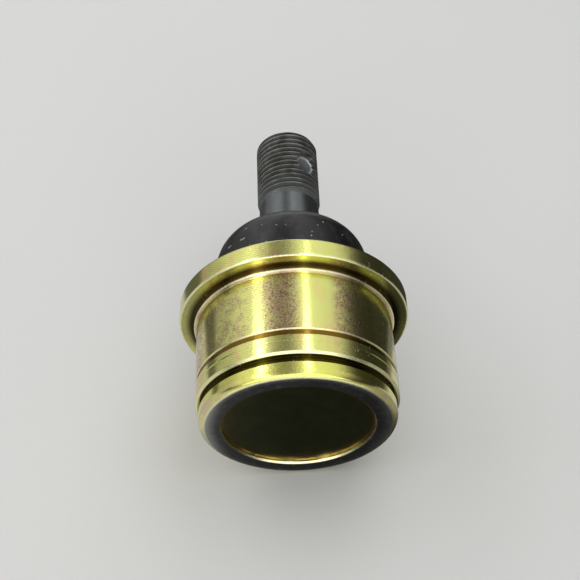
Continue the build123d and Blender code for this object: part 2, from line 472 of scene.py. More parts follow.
    def tint(self, tree: ShaderTree, patches: Wire) -> Wire:
        """Where the chromate is thick and turns rose and violet, most of all on the press seat; on the
        listed sides the tint is partly painted reflection and shade.

        Args:
            tree: The shader tree.
            patches: Noise that breaks the tint up.

        Returns:
            The tint's strength, from 0 to 1.
        """
        tint = tree.step(patches, *self.thick) * self.thick_share
        # Rose and violet on fixed sides: chromate tint, and painted reflection and shade.
        for stain in self.stains_and_reflections:
            broken = tree.step(patches, *stain.broken) * stain.share
            for side in stain.sides_deg:
                tint = tree.most(tint, tree.lobe(side, stain.half_width_deg) * broken)
        foot, head = (tree.step(tree.height, *ends) for ends in (self.seat_foot_mm, self.seat_head_mm))
        on_seat = foot * head
        return tint * (self.off_seat + on_seat * (1 - self.off_seat))

    def under_flange_tint_and_shade(self, tree: ShaderTree, colour: Wire) -> Wire:
        """Lays rose below the flange and painted shade into the corner on its underside.

        Args:
            tree: The shader tree.
            colour: The colour so far.

        Returns:
            The colour with the rose band and the painted shade.
        """
        corner, under = self.corner_mm
        above, out = tree.height - under, tree.radius - corner
        below = tree.step(above, -3.0, -0.6) * tree.step(above, 0.0, -0.1)
        colour = tree.mix(below * 0.55, colour, self.rose)
        # Painted shade: dark olive in the corner under the flange.
        inside = tree.band(above, 0.0, 0.05, 0.05, 0.0) * tree.step(out, 2.4, 0.5)
        return tree.mix(inside, colour, self.corner_shade)

    def rim(self, tree: ShaderTree, outer_mm: float) -> Wire:
        """The bare grey of the rolled rim, with a painted highlight near its outer edge and painted
        reflections on two sides.

        Args:
            tree: The shader tree.
            outer_mm: The rim's outer radius.

        Returns:
            The colour.
        """
        clouded, out = tree.step(tree.noise(self.clouds), 0.5, 0.74), tree.radius - outer_mm
        # Painted highlight near the outer edge, plus mottled clouds.
        mottle_and_reflection = tree.step(out, -0.8, 0.0) * 0.3 + clouded * 0.28
        edge = tree.step(out, -self.rim_reach_mm, -0.2)
        # Painted reflections: lighter towards the outer edge on two sides.
        for side, share in self.rim_reflection_sides:
            mottle_and_reflection = mottle_and_reflection + tree.lobe(side, self.rim_width_deg) * edge * share
        return tree.mix(mottle_and_reflection, self.rim_dark, self.rim_light)

    @staticmethod
    def in_groove(tree: ShaderTree, groove: Groove) -> Wire:
        """1 on a groove's floor and walls, up to just below its edges."""
        inside = tree.band(tree.height, groove.bottom_mm, groove.top_mm, 0.03, 0.02)
        return inside * tree.step(tree.radius - groove.mouth_mm, -0.04, -0.20)

    @staticmethod
    def highlit_and_worn(tree: ShaderTree, edges: Sequence[HighlitWornEdge]) -> Wire:
        """How much painted highlight an edge near this place gets.

        Args:
            tree: The shader tree.
            edges: The edges.

        Returns:
            1 on an edge, falling to 0 at its reach.
        """
        brightened: Wire | float = 0.0
        for edge in edges:
            away = tree.length(tree.radius - edge.radius_mm, tree.height - edge.height_mm)
            brightened = tree.most(tree.step(away, edge.reach_mm, edge.reach_mm * 0.4), brightened)
        return brightened


@dataclass(frozen=True)
class DarkOlivePlate:
    """A pressed cover in dark olive, partly painted shade, that turns golden near the rim as a painted
    reflection of the rim's gold wall.
    """

    # The dark olive stands partly for painted shade.
    middle: Colour = srgb(84, 90, 58)
    cloud: Colour = srgb(98, 98, 60)
    # Painted reflection of the rim's gold wall.
    wall_reflection: Colour = srgb(120, 92, 36)
    # The gold of the painted highlight at the wall.
    edge: Colour = srgb(250, 222, 140)
    clouds: Noise = Noise(0.22, 4.0, 0.6, 0.5)
    grain: Noise = Noise(3.2, 3.0, 0.7)
    rolling: Noise = Noise(1.0, stretch=(0.2, 4.0, 1.0))
    wall_radius_mm: float = 17.02
    highlit_side_deg: float = 49.0
    highlit_width_deg: float = 80.0
    roughness: float = 0.30

    def material(self) -> bpy.types.Material:
        """Builds the shader.

        Returns:
            The material for the cover plate.
        """
        tree = ShaderTree("dark_olive_plate")
        clouds, grain = tree.noise(self.clouds), tree.noise(self.grain)
        colour = tree.mix(tree.step(clouds, 0.4, 0.7), self.middle, self.cloud)
        wall = tree.radius - self.wall_radius_mm
        # Painted reflection of the rim's gold wall, near the wall.
        colour = tree.mix(tree.step(wall, -2.2, -0.3) * 0.6, colour, self.wall_reflection)
        # Painted highlight: a golden ring at the wall, strongest on one side.
        side = tree.lobe(self.highlit_side_deg, self.highlit_width_deg) * tree.step(clouds, 0.3, 0.6)
        brightened = tree.step(wall, -0.5, -0.2) * (0.15 + side * 0.85)
        return tree.finish(
            {
                "Base Color": tree.mix(brightened, colour, self.edge),
                "Metallic": 1.0,
                "Roughness": self.roughness + (grain - 0.5) * 0.2 + brightened * 0.2,
                "Normal": tree.bump(grain * 4.0 + tree.noise(self.rolling) * 3.0),
            }
        )


@dataclass(frozen=True)
class CrossHole:
    """The cotter pin's hole along Y, flared at both ends."""

    radius_mm: float = 2.25
    flare_mm: float = 1.35
    height_mm: float = 52.802
    thread_radius_mm: float = 8.0
    beyond_mm: float = 1.0

    @property
    def flare_from_mm(self) -> float:
        """How far from the axis the flares start."""
        return self.thread_radius_mm - self.flare_mm

    def outline(self) -> list[Point]:
        """The outline of a drill that reaches past the thread, as radius and distance."""
        far = self.thread_radius_mm + self.beyond_mm
        mouth = self.radius_mm + far - self.flare_from_mm
        narrow = [(self.radius_mm, -self.flare_from_mm), (self.radius_mm, self.flare_from_mm)]
        return [(0.0, -far), (mouth, -far), *narrow, (mouth, far), (0.0, far)]


@dataclass(frozen=True)
class BlackPhosphate:
    """Manganese phosphate on a forged and rolled stud, bright on the thread's crests with wear and a
    painted highlight.
    """

    coat: Colour = srgb(58, 58, 56)
    bloom: Colour = srgb(88, 90, 88)
    crest: Colour = srgb(160, 158, 147)
    taper: Colour = srgb(112, 116, 116)
    drilled: Colour = srgb(172, 176, 178)
    clouds: Noise = Noise(0.35, 4.0, 0.6, 0.3)
    grain: Noise = Noise(5.5, 3.0, 0.7)
    turned: Noise = Noise(6.0, 3.0)
    thread_bottom_mm: float = 42.3
    rubbed_mm: float = 8.0
    flank_mm: Point = (7.82, 7.99)
    metal: float = 0.35
    roughness: float = 0.46

    def material(self, hole: CrossHole) -> bpy.types.Material:
        """Builds the shader.

        Args:
            hole: The cross hole, which is drilled to bare steel.

        Returns:
            The material for the stud.
        """
        tree = ShaderTree("black_phosphate")
        clouds, grain = tree.noise(self.clouds), tree.noise(self.grain)
        above = tree.height - self.thread_bottom_mm
        on_taper = tree.step(above, 0.1, -0.5)
        low = tree.step(above, self.rubbed_mm, 1.0)
        colour = tree.mix(tree.step(clouds, 0.35, 0.7), self.coat, self.bloom)
        colour = tree.mix(tree.most(on_taper * 0.85, low * 0.5), colour, self.taper)
        # Crests lighter with wear and with a painted highlight.
        brightened = tree.step(tree.radius, *self.flank_mm) * tree.step(grain, 0.3, 0.6)
        brightened = brightened * tree.step(above, -0.4, 0.4)
        brightened = brightened * (tree.step(clouds, 0.40, 0.58) * 0.6 + 0.4)
        colour = tree.mix(brightened * 0.85, colour, self.crest)
        bare = self.in_hole(tree, hole)
        rough = self.roughness - brightened * 0.20 - on_taper * 0.20 - bare * 0.08 + (grain - 0.5) * 0.2
        return tree.finish(
            {
                "Base Color": tree.mix(bare, colour, self.drilled),
                "Metallic": self.metal + brightened * 0.4 * (1 - bare) + on_taper * 0.5,
                "Roughness": rough,
                "Normal": tree.bump(grain * 9.0 + tree.lines(tree.height, self.turned) * on_taper * 5.0),
            }
        )

    @staticmethod
    def in_hole(tree: ShaderTree, hole: CrossHole) -> Wire:
        """Where the drill has bared the steel.

        Args:
            tree: The shader tree.
            hole: The cross hole.

        Returns:
            1 in the hole and 0 elsewhere.
        """
        flare = tree.most(tree.math("ABSOLUTE", tree.along) - hole.flare_from_mm, 0.0)
        away = tree.length(tree.across, tree.height - hole.height_mm) - flare
        return tree.step(away - hole.radius_mm, 0.10, 0.04) * tree.step(flare, 0.45, 0.2)


@dataclass(frozen=True)
class ScuffAndGlint:
    """A pale streak along the boot's wall: a scuff, and in two places a painted glint."""

    centre_deg: float
    half_width_deg: float
    height_mm: float


@dataclass(frozen=True)
class BootRubber:
    """Black chloroprene rubber, satin, with a bloom, a little dust, a few scuff marks, two painted glints
    and painted shade at the crown.
    """

    rubber: Colour = srgb(13, 13, 14)
    bloom: Colour = srgb(40, 41, 40)
    dust: Colour = srgb(186, 186, 180)
    clouds: Noise = Noise(0.26, 6.0, 0.70, 0.5)
    grain: Noise = Noise(4.0, 4.0, 0.7)
    dents: Noise = Noise(1.1, 3.0, 0.6)
    specks_per_mm: float = 0.62
    crown_mm: Point = (28.3, 29.2)
    roughness: float = 0.33
    scuffs_and_glints: tuple[ScuffAndGlint, ...] = (
        # Painted glints on the near side of the wall.
        ScuffAndGlint(179.0, 2.4, 21.15),
        ScuffAndGlint(-167.5, 2.8, 20.85),
        # Scuff marks.
        ScuffAndGlint(60.0, 4.0, 22.4),
        ScuffAndGlint(-25.0, 3.0, 19.8),
    )

    def material(self) -> bpy.types.Material:
        """Builds the shader.

        Returns:
            The material for the boot.
        """
        tree = ShaderTree("boot_rubber_black")
        clouds, grain = tree.noise(self.clouds), tree.noise(self.grain)
        colour = tree.mix(tree.step(clouds, 0.42, 0.62) * 0.9, self.rubber, self.bloom)
        # Painted shade: darker plain rubber at the crown, by the gap at the stud.
        colour = tree.mix(tree.step(tree.height, *self.crown_mm) * 0.9, colour, self.rubber)
        spread = {"Vector": tree.place, "Scale": self.specks_per_mm}
        specks = tree.add("ShaderNodeTexVoronoi", None, spread)
        kept = tree.add("ShaderNodeSeparateColor", None, {0: specks.other("Color")})
        dusty = tree.step(specks, 0.15, 0.07) * tree.step(kept, 0.66, 0.70)
        dusty = dusty * tree.step(grain, 0.3, 0.5)
        pale = tree.most(dusty, tree.step(grain, 0.60, 0.80) * tree.step(clouds, 0.46, 0.6) * 0.16)
        ragged = tree.height + (grain - 0.5) * 0.5
        # Scuff marks and painted glints.
        for scuff in self.scuffs_and_glints:
            along = tree.step(tree.lobe(scuff.centre_deg, scuff.half_width_deg), 0.02, 0.7)
            across = tree.step(tree.math("ABSOLUTE", ragged - scuff.height_mm), 0.34, 0.10)
            pale = tree.most(pale, along * across * 0.5)
        return tree.finish(
            {
                "Base Color": tree.mix(pale, colour, self.dust),
                "Roughness": self.roughness + (clouds - 0.5) * 0.2 + pale * 0.3,
                "Specular IOR Level": 0.45,
                "Normal": tree.bump(grain * 10.0 + tree.noise(self.dents) * 18.0 + pale * 18.0),
            }
        )


@dataclass(frozen=True)
class DrawnMetal:
    """Bare drawn or rolled spring steel, with marks along its length."""

    name: str
    steel: Colour
    stain: Colour
    roughness: float
    marks: Noise
    clouds: Noise = Noise(0.5, 4.0, 0.6)

    def material(self) -> bpy.types.Material:
        """Builds the shader.

        Returns:
            The material for a spring or a wire ring.
        """
        tree = ShaderTree(self.name)
        clouds = tree.noise(self.clouds)
        return tree.finish(
            {
                "Base Color": tree.mix(tree.step(clouds, 0.45, 0.75), self.steel, self.stain),
                "Metallic": 1.0,
                "Roughness": self.roughness + (clouds - 0.5) * 0.15,
                "Normal": tree.bump(tree.lines(tree.radius + tree.height, self.marks) * 4.0),
            }
        )


@dataclass(frozen=True)
class MouldedResin:
    """Natural acetal resin, a little translucent and waxy, with moulding flow in it."""

    resin: Colour = srgb(224, 219, 203)
    flow: Colour = srgb(205, 199, 181)
    streaks: Noise = Noise(0.25, 4.0, 0.6, 1.2, (1.0, 1.0, 3.0))
    grain: Noise = Noise(3.0)
    roughness: float = 0.38

    def material(self) -> bpy.types.Material:
        """Builds the shader.

        Returns:
            The material for the bearing halves.
        """
        tree = ShaderTree("acetal_resin")
        streaks, grain = tree.noise(self.streaks), tree.noise(self.grain)
        return tree.finish(
            {
                "Base Color": tree.mix(tree.step(streaks, 0.4, 0.7), self.resin, self.flow),
                "Roughness": self.roughness + (grain - 0.5) * 0.12,
                "Normal": tree.bump(grain * 6.0),
            }
        )


# Outlines and meshes


def arc(start: Point, middle: Point, end: Point, steps: int) -> list[Point]:
    """Points along the circle through three points.

    Args:
        start: The first point.
        middle: A point between them.
        end: The last point.
        steps: How many chords the arc has.

    Returns:
        The points, both ends included.
    """
    a, b, c = (complex(*p) for p in (start, middle, end))
    w = (c - a) / (b - a)
    centre = (b - a) * (w - abs(w) ** 2) / (2j * w.imag) + a
    radius = abs(a - centre)
    first = math.atan2((a - centre).imag, (a - centre).real)
    last = math.atan2((c - centre).imag, (c - centre).real)
    turn = math.tau if w.imag > 0 else -math.tau
    sweep = (last - first) % turn
    angles = (first + sweep * i / steps for i in range(steps + 1))
    return [(centre.real + radius * math.cos(t), centre.imag + radius * math.sin(t)) for t in angles]


def broken_edges(corners: Sequence[Corner], steps: int = 4, support: float = 0.12) -> list[Point]:
    """An open outline whose corners are rounded.

    Args:
        corners: Radius, height and edge radius of each corner, in millimetres.
        steps: How many chords each rounded corner has.
        support: The length of the short edge that keeps the face beside a corner flat.

    Returns:
        The outline's points.
    """
    points: list[Point] = [corners[0][:2]]
    for before, corner, after in zip(corners, corners[1:], corners[2:]):
        here = Vector(corner[:2])
        back, ahead = Vector(before[:2]) - here, Vector(after[:2]) - here
        bend = math.pi - back.angle(ahead)
        if corner[2] <= 0 or bend < math.radians(STRAIGHT_DEG):
            points.append(corner[:2])
            continue
        longest = ROUNDED_SHARE * min(back.length, ahead.length)
        reach = min(corner[2] * math.tan(bend / 2), longest)
        start, end = here + back.normalized() * reach, here + ahead.normalized() * reach
        radius = reach / math.tan(bend / 2)
        inward = (back.normalized() + ahead.normalized()).normalized()
        middle = here + inward * (radius / math.cos(bend / 2) - radius)
        margin = [min(support, side.length * MARGIN_SHARE - reach) for side in (back, ahead)]
        if margin[0] > SHORTEST_MM:
            points.append(tuple(start + back.normalized() * margin[0]))
        points += arc(tuple(start), tuple(middle), tuple(end), steps)
        if margin[1] > SHORTEST_MM:
            points.append(tuple(end + ahead.normalized() * margin[1]))
    points.append(corners[-1][:2])
    return points


def smooth_curve(points: Sequence[Point], steps: int) -> list[Point]:
    """A smooth curve through points.

    Args:
        points: Where it passes, both ends included.
        steps: How many chords run between two of them.

    Returns:
        Points along the curve.
    """
    knots = [np.array(p, float) for p in points]
    knots = [2 * knots[0] - knots[1], *knots, 2 * knots[-1] - knots[-2]]
    curve: list[Point] = []
    for a, b, c, d in zip(knots, knots[1:], knots[2:], knots[3:]):
        bend, twist = 2 * a - 5 * b + 4 * c - d, 3 * b - a - 3 * c + d
        for i in range(steps):
            t = i / steps
            curve.append(tuple((2 * b + (c - a) * t + bend * t**2 + twist * t**3) / 2))
    curve.append(tuple(points[-1]))
    return curve


def band_faces(rings: int, segments: int, closed: bool = False, start: int = 0) -> list[tuple[int, ...]]:
    """The faces between rings of points.

    Args:
        rings: How many rings there are.
        segments: How many points each has.
        closed: Whether the last ring joins the first.
        start: The number of the first point.

    Returns:
        The point numbers of each face.
    """
    faces = []
    for row in range(rings if closed else rings - 1):
        here, above = start + row * segments, start + (row + 1) % rings * segments
        for i in range(segments):
            j = (i + 1) % segments
            faces.append((here + i, here + j, above + j, above + i))
    return faces


def clean_mesh(
    name: str, vertices: np.ndarray, faces: Sequence[Sequence[int]], sharp_deg: float
) -> bpy.types.Mesh:
    """A smooth-shaded mesh with its doubled points joined.

    Args:
        name: The mesh's name.
        vertices: Its points, in metres.
        faces: The point numbers of each face.
        sharp_deg: The bend above which an edge is drawn sharp.

    Returns:
        The mesh, with its faces turned outwards.
    """
    mesh = bpy.data.meshes.new(name)
    mesh.from_pydata(vertices.tolist(), [], faces)
    shape = bmesh.new()
    shape.from_mesh(mesh)
    bmesh.ops.remove_doubles(shape, verts=shape.verts, dist=WELD)
    bmesh.ops.dissolve_degenerate(shape, edges=shape.edges, dist=FLAT)
    bmesh.ops.recalc_face_normals(shape, faces=shape.faces)
    shape.to_mesh(mesh)
    shape.free()
    mesh.shade_smooth()
    mesh.set_sharp_from_angle(angle=math.radians(sharp_deg))
    return mesh


def add_object(name: str, data: bpy.types.ID) -> bpy.types.Object:
    """Puts a mesh, lamp or camera into the scene."""
    piece = bpy.data.objects.new(name, data)
    bpy.context.scene.collection.objects.link(piece)
    return piece


@dataclass
class Lathe:
    """Turns an outline round the stud's axis."""

    segments: int = 256
    sharp_deg: float = 34.0

    def spin(
        self,
        name: str,
        outline_mm: Sequence[Point],
        closed: bool = True,
        shape: Callable[[np.ndarray, np.ndarray, np.ndarray], np.ndarray] | None = None,
    ) -> bpy.types.Mesh:
        """Turns an outline into a mesh.

        Args:
            name: The mesh's name.
            outline_mm: Radius and height of the outline's points.
            closed: Whether the last point joins the first.
            shape: Gives the outward shift in millimetres at an angle, radius and height.

        Returns:
            The mesh, in metres.
        """
        outline = np.array(outline_mm, float)
        angles = np.arange(self.segments) * (math.tau / self.segments)
        radius = np.repeat(outline[:, :1], self.segments, axis=1)
        height = np.repeat(outline[:, 1:], self.segments, axis=1)
        angle = np.repeat(angles[None, :], len(outline), axis=0)
        if shape is not None:
            radius = radius + shape(angle, radius, height)
        points = np.stack([radius * np.cos(angle), radius * np.sin(angle), height], axis=2) * MM
        faces = band_faces(len(outline), self.segments, closed)
        return clean_mesh(name, points.reshape(-1, 3), faces, self.sharp_deg)


@dataclass
class Assembly:
    """A sub-assembly of the joint, which keeps the pieces it has built."""

    pieces: list[bpy.types.Object] = field(default_factory=list, init=False)

    def build(self) -> None:
        """Models what the CAD nodes show too plainly, which may be nothing."""

    def put(self, name: str, mesh: bpy.types.Mesh, slot: Slot) -> bpy.types.Object:
        """Adds a piece to the scene.

        Args:
            name: The piece's name.
            mesh: Its mesh, in the CAD frame.
            slot: The finish that the record gives it; not used.

        Returns:
            The new object.
        """
        piece = add_object(name, mesh)
        self.pieces.append(piece)
        return piece

    def dress_node(self, node: str, material: bpy.types.Material) -> None:
        """Gives a CAD node a finish."""
        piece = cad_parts[node]
        piece.material_slots[0].material = material
        self.pieces.append(piece)


# Sub-assemblies


@dataclass
class Housing(Assembly):
    """The turned steel shell and the cover that its rolled rim holds."""

    body_mm: float = 23.0
    neck_mm: float = 16.502
    mouth_mm: float = 14.502
    neck_top_mm: float = 14.015
    boot_groove_mm: float = 15.502
    boot_groove_top_mm: float = 13.515
    flange_mm: float = 27.0
    flange_top_mm: float = 10.915
    flange_under_mm: float = 6.315
    flange_top_edge_mm: float = 0.55
    flange_under_edge_mm: float = 0.45
    register_mm: float = 23.6
    register_bottom_mm: float = 5.215
    seat_bottom_mm: float = -10.2
    seat_chamfer_mm: float = 0.3
    relief_mm: float = 22.6
    relief_bottom_mm: float = -11.5
    scribe_mm: float = -13.1
    scribe_depth_mm: float = 0.12
    scribe_width_mm: float = 0.3
    land_bottom_mm: float = -16.1
    land_chamfer_mm: float = 0.55
    ring_groove_mm: float = 21.4
    ring_groove_bottom_mm: float = -17.6
    tail_mm: float = 22.2
    tail_chamfer_mm: float = 0.2
    curl_top_mm: float = -19.2
    curl_middle_mm: Point = (21.68, -20.62)
    rim_mm: float = 20.3
    rim_face_mm: float = -21.2
    lip_mm: float = 17.02
    lip_chamfer_mm: float = 0.45
    pocket_mm: float = 19.42
    pocket_bottom_mm: float = -20.2
    pocket_top_mm: float = -17.0
    socket_mm: float = 16.97
    mouth_height_mm: float = 9.6
    bowl_middle_deg: float = 17.0
    edge_mm: float = 0.12
    root_mm: float = 0.16
    finish: YellowZinc = field(default_factory=YellowZinc)
    plate_finish: DarkOlivePlate = field(default_factory=DarkOlivePlate)

    def outline(self) -> list[Point]:
        """The housing's closed outline, down the outside and up the inside."""
        edge, root = self.edge_mm, self.root_mm
        outside: list[Corner] = [
            (self.mouth_mm, self.neck_top_mm, 0.0),
            (self.neck_mm, self.neck_top_mm, 2.5 * edge),
            (self.neck_mm, self.boot_groove_top_mm, edge),
            (self.boot_groove_mm, self.boot_groove_top_mm, root),
            (self.boot_groove_mm, self.flange_top_mm, root),
            (self.flange_mm, self.flange_top_mm, self.flange_top_edge_mm),
            (self.flange_mm, self.flange_under_mm, self.flange_under_edge_mm),
            (self.register_mm, self.flange_under_mm, 0.0),
            (self.register_mm, self.register_bottom_mm, edge),
            (self.body_mm, self.register_bottom_mm - (self.register_mm - self.body_mm), root),
            (self.body_mm, self.seat_bottom_mm + self.seat_chamfer_mm, edge),
            (self.body_mm - self.seat_chamfer_mm, self.seat_bottom_mm, edge / 2),
            (self.relief_mm, self.seat_bottom_mm, edge / 2),
            (self.relief_mm, self.relief_bottom_mm, edge),
            (self.body_mm, self.relief_bottom_mm, edge),
            (self.body_mm, self.scribe_mm + self.scribe_width_mm / 2, 0.0),
            (self.body_mm - self.scribe_depth_mm, self.scribe_mm, 0.0),
            (self.body_mm, self.scribe_mm - self.scribe_width_mm / 2, 0.0),
            (self.body_mm, self.land_bottom_mm + self.land_chamfer_mm, edge),
            (self.body_mm - self.land_chamfer_mm, self.land_bottom_mm, edge),
            (self.ring_groove_mm, self.land_bottom_mm, root),
            (self.ring_groove_mm, self.ring_groove_bottom_mm, root),
            (self.tail_mm - self.tail_chamfer_mm, self.ring_groove_bottom_mm, edge / 2),
            (self.tail_mm, self.ring_groove_bottom_mm - self.tail_chamfer_mm, edge / 2),
            (self.tail_mm, self.curl_top_mm, 0.0),
        ]
        tail, rim = (self.tail_mm, self.curl_top_mm), (self.rim_mm, self.rim_face_mm)
        curl = arc(tail, self.curl_middle_mm, rim, 14)
        rolled = [(r, z, 0.0) for r, z in curl[1:-1]]
        inside: list[Corner] = [
            (self.rim_mm, self.rim_face_mm, edge),
            (self.lip_mm + self.lip_chamfer_mm, self.rim_face_mm, edge),
            (self.lip_mm, self.rim_face_mm + self.lip_chamfer_mm, edge),
            (self.lip_mm, self.pocket_bottom_mm, edge),
            (self.pocket_mm, self.pocket_bottom_mm, 0.0),
            (self.pocket_mm, self.pocket_top_mm, 0.0),
            (self.socket_mm, self.pocket_top_mm, 0.0),
            (self.socket_mm, 0.0, 0.0),
        ]
        middle = math.radians(self.bowl_middle_deg)
        half_way = (self.socket_mm * math.cos(middle), self.socket_mm * math.sin(middle))
        mouth = (math.sqrt(self.socket_mm**2 - self.mouth_height_mm**2), self.mouth_height_mm)
        bowl = arc((self.socket_mm, 0.0), half_way, mouth, 16)
        return broken_edges(outside + rolled + inside) + bowl[1:]

    def highlit_worn_edges(self) -> list[HighlitWornEdge]:
        """The edges that get painted highlights, broken up like wear from handling and the press."""
        top, under = self.flange_top_edge_mm / 3, self.flange_under_edge_mm / 3
        land, lip = self.land_chamfer_mm / 2, self.lip_chamfer_mm / 2
        return [
            HighlitWornEdge(self.flange_mm - top, self.flange_top_mm - top, 0.34),
            HighlitWornEdge(self.flange_mm - under, self.flange_under_mm + under, 0.38),
            HighlitWornEdge(self.register_mm - 0.15, self.register_bottom_mm - 0.1, 0.30),
            HighlitWornEdge(self.body_mm - 0.05, self.seat_bottom_mm + 0.15, 0.20),
            HighlitWornEdge(self.body_mm - land, self.land_bottom_mm + land, 0.42),
            HighlitWornEdge(self.tail_mm - 0.05, self.ring_groove_bottom_mm - 0.1, 0.16),
            HighlitWornEdge(self.rim_mm + 0.55, self.rim_face_mm + 0.22, 0.52),
            HighlitWornEdge(self.lip_mm + lip, self.rim_face_mm + lip, 0.26),
        ]

    def grooves(self) -> list[Groove]:
        """The relief under the seat and the snap ring's groove, with their painted shade."""
        return [
            # Groove colours: painted shade.
            Groove(self.relief_bottom_mm, self.seat_bottom_mm, self.body_mm, srgb(124, 96, 36)),
            Groove(self.ring_groove_bottom_mm, self.land_bottom_mm, self.tail_mm, srgb(64, 56, 14)),
        ]

    def build(self) -> None:
        """Turns the housing's mesh."""
        mesh = Lathe(segments=288).spin("housing_shell", self.outline())
        shell = self.put("housing_shell", mesh, Slot.HOUSING)
        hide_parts("housing")
        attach(shell, Body.HOUSING.value)

    def dress(self) -> None:
        """Gives the shell and the cover their finishes."""
        rim_mm = (self.lip_mm + self.lip_chamfer_mm, self.rim_mm, self.rim_face_mm)
        finish = self.finish.material(self.highlit_worn_edges(), self.grooves(), rim_mm)
        self.pieces[0].data.materials.append(finish)
        self.dress_node("cover_plate", self.plate_finish.material())


@dataclass
class BearingSeat(Assembly):
    """The resin bearing halves round the ball and the disc spring under them."""

    resin: MouldedResin = field(default_factory=MouldedResin)
    spring: DrawnMetal = DrawnMetal(
        "spring_steel_blued", srgb(92, 96, 104), srgb(120, 104, 84), 0.34, Noise(5.0)
    )

    def dress(self) -> None:
        """Gives the bearing halves and the spring their finishes."""
        resin = self.resin.material()
        self.dress_node("upper_bearing", resin)
        self.dress_node("lower_bearing", resin)
        self.dress_node("disc_spring", self.spring.material())


@dataclass
class ThreadForm:
    """The rolled metric thread on the stud."""

    pitch_mm: float = 1.5
    radius_mm: float = 8.0
    depth_share: float = 0.6134
    crest_share: float = 0.125
    flank_deg: float = 30.0
    bottom_mm: float = 42.3
    top_mm: float = 63.302
    run_out_mm: float = 1.6
    tip_chamfer_mm: float = 1.1

    @property
    def flank(self) -> Point:
        """Where a flank starts and ends, as shares of a pitch from the crest's middle."""
        crest = self.crest_share / 2
        return crest, crest + self.depth_share * math.tan(math.radians(self.flank_deg))

    def phases(self) -> list[float]:
        """Where the thread's section is sampled, as shares of a pitch from a crest's middle."""
        crest, root = self.flank
        flank = [crest + (root - crest) * share for share in (0.04, 0.35, 0.7)]
        half = [0.0, crest * 0.85, crest, *flank, root, (root + 0.5) / 2]
        return [*half, 0.5, *(1 - share for share in reversed(half[1:]))]

    def radius(self, phase: np.ndarray, height: np.ndarray, shank_mm: float) -> np.ndarray:
        """The thread's radius.

        Args:
            phase: The share of a pitch from a crest's middle.
            height: The height, in millimetres.
            shank_mm: The radius that the thread runs out to.

        Returns:
            The radius at each point, in millimetres.
        """
        crest, root = self.flank
        away = np.abs((phase + 0.5) % 1.0 - 0.5)
        depth = np.clip((away - crest) / (root - crest), 0, 1) * self.depth_share * self.pitch_mm
        share = np.clip((height - self.bottom_mm) / self.run_out_mm, 0, 1)
        share = share * share * (3 - 2 * share)
        tip = self.radius_mm - self.tip_chamfer_mm + (self.top_mm - height)
        return np.minimum(shank_mm + (self.radius_mm - depth - shank_mm) * share, tip)


